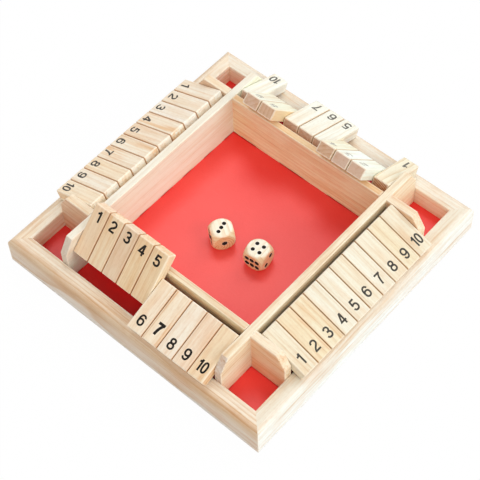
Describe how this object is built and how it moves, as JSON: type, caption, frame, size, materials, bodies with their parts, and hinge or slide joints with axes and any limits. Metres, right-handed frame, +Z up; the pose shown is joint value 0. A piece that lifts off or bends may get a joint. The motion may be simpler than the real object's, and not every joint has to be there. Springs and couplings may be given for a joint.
{
  "type": "shut the box game",
  "caption": "Square wooden shut the box game, with numbered tiles that flip about rods on each side and a red dice tray in the middle.",
  "frame": {"origin": "middle of the underside, on the table", "axes": "+Z up; -Y is the side nearest the left of the viewer, called the front; its player reads the tiles from -X to +X"},
  "size_m": [0.225, 0.225, 0.0621],
  "materials": {
    "pine_rail": "satin, clear lacquered pine with the outer top edge rounded",
    "pine_wall": "satin pine board with eased edges",
    "pine_tile": "smooth sanded pine with black printed numbers",
    "dowel": "plain turned dowel",
    "red_lining": "short, dense red felt, glued down flat",
    "base_board": "plain unpainted board",
    "die_wood": "polished pale wood with black drilled spots"
  },
  "bodies": {
    "box": {"base_panel": "base_board", "red_lining": "red_lining", "rail_front": "pine_rail", "rail_right": "pine_rail", "rail_back": "pine_rail", "rail_left": "pine_rail", "long_wall_left": "pine_wall", "long_wall_right": "pine_wall", "short_wall_front": "pine_wall", "short_wall_back": "pine_wall", "cheek_right_first": "pine_wall", "cheek_right_last": "pine_wall", "cheek_left_first": "pine_wall", "cheek_left_last": "pine_wall", "rod_front": "dowel", "rod_right": "dowel", "rod_back": "dowel", "rod_left": "dowel"},
    "tile_front_1": {"tile_front_1": "pine_tile"},
    "tile_front_2": {"tile_front_2": "pine_tile"},
    "tile_front_3": {"tile_front_3": "pine_tile"},
    "tile_front_4": {"tile_front_4": "pine_tile"},
    "tile_front_5": {"tile_front_5": "pine_tile"},
    "tile_front_6": {"tile_front_6": "pine_tile"},
    "tile_front_7": {"tile_front_7": "pine_tile"},
    "tile_front_8": {"tile_front_8": "pine_tile"},
    "tile_front_9": {"tile_front_9": "pine_tile"},
    "tile_front_10": {"tile_front_10": "pine_tile"},
    "tile_right_1": {"tile_right_1": "pine_tile"},
    "tile_right_2": {"tile_right_2": "pine_tile"},
    "tile_right_3": {"tile_right_3": "pine_tile"},
    "tile_right_4": {"tile_right_4": "pine_tile"},
    "tile_right_5": {"tile_right_5": "pine_tile"},
    "tile_right_6": {"tile_right_6": "pine_tile"},
    "tile_right_7": {"tile_right_7": "pine_tile"},
    "tile_right_8": {"tile_right_8": "pine_tile"},
    "tile_right_9": {"tile_right_9": "pine_tile"},
    "tile_right_10": {"tile_right_10": "pine_tile"},
    "tile_back_1": {"tile_back_1": "pine_tile"},
    "tile_back_2": {"tile_back_2": "pine_tile"},
    "tile_back_3": {"tile_back_3": "pine_tile"},
    "tile_back_4": {"tile_back_4": "pine_tile"},
    "tile_back_5": {"tile_back_5": "pine_tile"},
    "tile_back_6": {"tile_back_6": "pine_tile"},
    "tile_back_7": {"tile_back_7": "pine_tile"},
    "tile_back_8": {"tile_back_8": "pine_tile"},
    "tile_back_9": {"tile_back_9": "pine_tile"},
    "tile_back_10": {"tile_back_10": "pine_tile"},
    "tile_left_1": {"tile_left_1": "pine_tile"},
    "tile_left_2": {"tile_left_2": "pine_tile"},
    "tile_left_3": {"tile_left_3": "pine_tile"},
    "tile_left_4": {"tile_left_4": "pine_tile"},
    "tile_left_5": {"tile_left_5": "pine_tile"},
    "tile_left_6": {"tile_left_6": "pine_tile"},
    "tile_left_7": {"tile_left_7": "pine_tile"},
    "tile_left_8": {"tile_left_8": "pine_tile"},
    "tile_left_9": {"tile_left_9": "pine_tile"},
    "tile_left_10": {"tile_left_10": "pine_tile"},
    "die_1": {"die_1": "die_wood"},
    "die_2": {"die_2": "die_wood"}
  },
  "joints": [
    {"name": "flip_front_1", "type": "hinge", "parent": "box", "child": "tile_front_1", "pos_m": [-0.05899, -0.0838, 0.03935], "axis": [-1, 0, 0], "range_deg": [-155.88, 0]},
    {"name": "flip_front_2", "type": "hinge", "parent": "box", "child": "tile_front_2", "pos_m": [-0.04588, -0.0838, 0.03935], "axis": [-1, 0, 0], "range_deg": [-155.88, 0]},
    {"name": "flip_front_3", "type": "hinge", "parent": "box", "child": "tile_front_3", "pos_m": [-0.03277, -0.0838, 0.03935], "axis": [-1, 0, 0], "range_deg": [-155.88, 0]},
    {"name": "flip_front_4", "type": "hinge", "parent": "box", "child": "tile_front_4", "pos_m": [-0.01966, -0.0838, 0.03935], "axis": [-1, 0, 0], "range_deg": [-155.88, 0]},
    {"name": "flip_front_5", "type": "hinge", "parent": "box", "child": "tile_front_5", "pos_m": [-0.00655, -0.0838, 0.03935], "axis": [-1, 0, 0], "range_deg": [-155.88, 0]},
    {"name": "flip_front_6", "type": "hinge", "parent": "box", "child": "tile_front_6", "pos_m": [0.00655, -0.0838, 0.03935], "axis": [-1, 0, 0], "range_deg": [0, 155.88]},
    {"name": "flip_front_7", "type": "hinge", "parent": "box", "child": "tile_front_7", "pos_m": [0.01966, -0.0838, 0.03935], "axis": [-1, 0, 0], "range_deg": [0, 155.88]},
    {"name": "flip_front_8", "type": "hinge", "parent": "box", "child": "tile_front_8", "pos_m": [0.03277, -0.0838, 0.03935], "axis": [-1, 0, 0], "range_deg": [0, 155.88]},
    {"name": "flip_front_9", "type": "hinge", "parent": "box", "child": "tile_front_9", "pos_m": [0.04588, -0.0838, 0.03935], "axis": [-1, 0, 0], "range_deg": [0, 155.88]},
    {"name": "flip_front_10", "type": "hinge", "parent": "box", "child": "tile_front_10", "pos_m": [0.05899, -0.0838, 0.03935], "axis": [-1, 0, 0], "range_deg": [0, 155.88]},
    {"name": "flip_right_1", "type": "hinge", "parent": "box", "child": "tile_right_1", "pos_m": [0.0838, -0.05899, 0.03935], "axis": [0, 1, 0], "range_deg": [-153.18, 0]},
    {"name": "flip_right_2", "type": "hinge", "parent": "box", "child": "tile_right_2", "pos_m": [0.0838, -0.04588, 0.03935], "axis": [0, 1, 0], "range_deg": [-153.18, 0]},
    {"name": "flip_right_3", "type": "hinge", "parent": "box", "child": "tile_right_3", "pos_m": [0.0838, -0.03277, 0.03935], "axis": [0, 1, 0], "range_deg": [-153.18, 0]},
    {"name": "flip_right_4", "type": "hinge", "parent": "box", "child": "tile_right_4", "pos_m": [0.0838, -0.01966, 0.03935], "axis": [0, 1, 0], "range_deg": [-153.18, 0]},
    {"name": "flip_right_5", "type": "hinge", "parent": "box", "child": "tile_right_5", "pos_m": [0.0838, -0.00655, 0.03935], "axis": [0, 1, 0], "range_deg": [-153.18, 0]},
    {"name": "flip_right_6", "type": "hinge", "parent": "box", "child": "tile_right_6", "pos_m": [0.0838, 0.00655, 0.03935], "axis": [0, 1, 0], "range_deg": [-153.18, 0]},
    {"name": "flip_right_7", "type": "hinge", "parent": "box", "child": "tile_right_7", "pos_m": [0.0838, 0.01966, 0.03935], "axis": [0, 1, 0], "range_deg": [-153.18, 0]},
    {"name": "flip_right_8", "type": "hinge", "parent": "box", "child": "tile_right_8", "pos_m": [0.0838, 0.03277, 0.03935], "axis": [0, 1, 0], "range_deg": [-153.18, 0]},
    {"name": "flip_right_9", "type": "hinge", "parent": "box", "child": "tile_right_9", "pos_m": [0.0838, 0.04588, 0.03935], "axis": [0, 1, 0], "range_deg": [-153.18, 0]},
    {"name": "flip_right_10", "type": "hinge", "parent": "box", "child": "tile_right_10", "pos_m": [0.0838, 0.05899, 0.03935], "axis": [0, 1, 0], "range_deg": [-153.18, 0]},
    {"name": "flip_back_1", "type": "hinge", "parent": "box", "child": "tile_back_1", "pos_m": [0.05899, 0.0838, 0.03935], "axis": [1, 0, 0], "range_deg": [0, 155.88]},
    {"name": "flip_back_2", "type": "hinge", "parent": "box", "child": "tile_back_2", "pos_m": [0.04588, 0.0838, 0.03935], "axis": [1, 0, 0], "range_deg": [-155.88, 0]},
    {"name": "flip_back_3", "type": "hinge", "parent": "box", "child": "tile_back_3", "pos_m": [0.03277, 0.0838, 0.03935], "axis": [1, 0, 0], "range_deg": [-155.88, 0]},
    {"name": "flip_back_4", "type": "hinge", "parent": "box", "child": "tile_back_4", "pos_m": [0.01966, 0.0838, 0.03935], "axis": [1, 0, 0], "range_deg": [-155.88, 0]},
    {"name": "flip_back_5", "type": "hinge", "parent": "box", "child": "tile_back_5", "pos_m": [0.00655, 0.0838, 0.03935], "axis": [1, 0, 0], "range_deg": [0, 155.88]},
    {"name": "flip_back_6", "type": "hinge", "parent": "box", "child": "tile_back_6", "pos_m": [-0.00655, 0.0838, 0.03935], "axis": [1, 0, 0], "range_deg": [0, 155.88]},
    {"name": "flip_back_7", "type": "hinge", "parent": "box", "child": "tile_back_7", "pos_m": [-0.01966, 0.0838, 0.03935], "axis": [1, 0, 0], "range_deg": [0, 155.88]},
    {"name": "flip_back_8", "type": "hinge", "parent": "box", "child": "tile_back_8", "pos_m": [-0.03277, 0.0838, 0.03935], "axis": [1, 0, 0], "range_deg": [-155.88, 0]},
    {"name": "flip_back_9", "type": "hinge", "parent": "box", "child": "tile_back_9", "pos_m": [-0.04588, 0.0838, 0.03935], "axis": [1, 0, 0], "range_deg": [-155.88, 0]},
    {"name": "flip_back_10", "type": "hinge", "parent": "box", "child": "tile_back_10", "pos_m": [-0.05899, 0.0838, 0.03935], "axis": [1, 0, 0], "range_deg": [0, 155.88]},
    {"name": "flip_left_1", "type": "hinge", "parent": "box", "child": "tile_left_1", "pos_m": [-0.0838, 0.05899, 0.03935], "axis": [0, -1, 0], "range_deg": [-153.18, 0]},
    {"name": "flip_left_2", "type": "hinge", "parent": "box", "child": "tile_left_2", "pos_m": [-0.0838, 0.04588, 0.03935], "axis": [0, -1, 0], "range_deg": [-153.18, 0]},
    {"name": "flip_left_3", "type": "hinge", "parent": "box", "child": "tile_left_3", "pos_m": [-0.0838, 0.03277, 0.03935], "axis": [0, -1, 0], "range_deg": [-153.18, 0]},
    {"name": "flip_left_4", "type": "hinge", "parent": "box", "child": "tile_left_4", "pos_m": [-0.0838, 0.01966, 0.03935], "axis": [0, -1, 0], "range_deg": [-153.18, 0]},
    {"name": "flip_left_5", "type": "hinge", "parent": "box", "child": "tile_left_5", "pos_m": [-0.0838, 0.00655, 0.03935], "axis": [0, -1, 0], "range_deg": [-153.18, 0]},
    {"name": "flip_left_6", "type": "hinge", "parent": "box", "child": "tile_left_6", "pos_m": [-0.0838, -0.00655, 0.03935], "axis": [0, -1, 0], "range_deg": [-153.18, 0]},
    {"name": "flip_left_7", "type": "hinge", "parent": "box", "child": "tile_left_7", "pos_m": [-0.0838, -0.01966, 0.03935], "axis": [0, -1, 0], "range_deg": [-153.18, 0]},
    {"name": "flip_left_8", "type": "hinge", "parent": "box", "child": "tile_left_8", "pos_m": [-0.0838, -0.03277, 0.03935], "axis": [0, -1, 0], "range_deg": [-153.18, 0]},
    {"name": "flip_left_9", "type": "hinge", "parent": "box", "child": "tile_left_9", "pos_m": [-0.0838, -0.04588, 0.03935], "axis": [0, -1, 0], "range_deg": [-153.18, 0]},
    {"name": "flip_left_10", "type": "hinge", "parent": "box", "child": "tile_left_10", "pos_m": [-0.0838, -0.05899, 0.03935], "axis": [0, -1, 0], "range_deg": [-143.48, 0]},
    {"name": "lift_die_1", "type": "slide", "parent": "box", "child": "die_1", "axis": [0, 0, 1], "range_m": [0, 0.06]},
    {"name": "lift_die_2", "type": "slide", "parent": "box", "child": "die_2", "axis": [0, 0, 1], "range_m": [0, 0.06]}
  ]
}
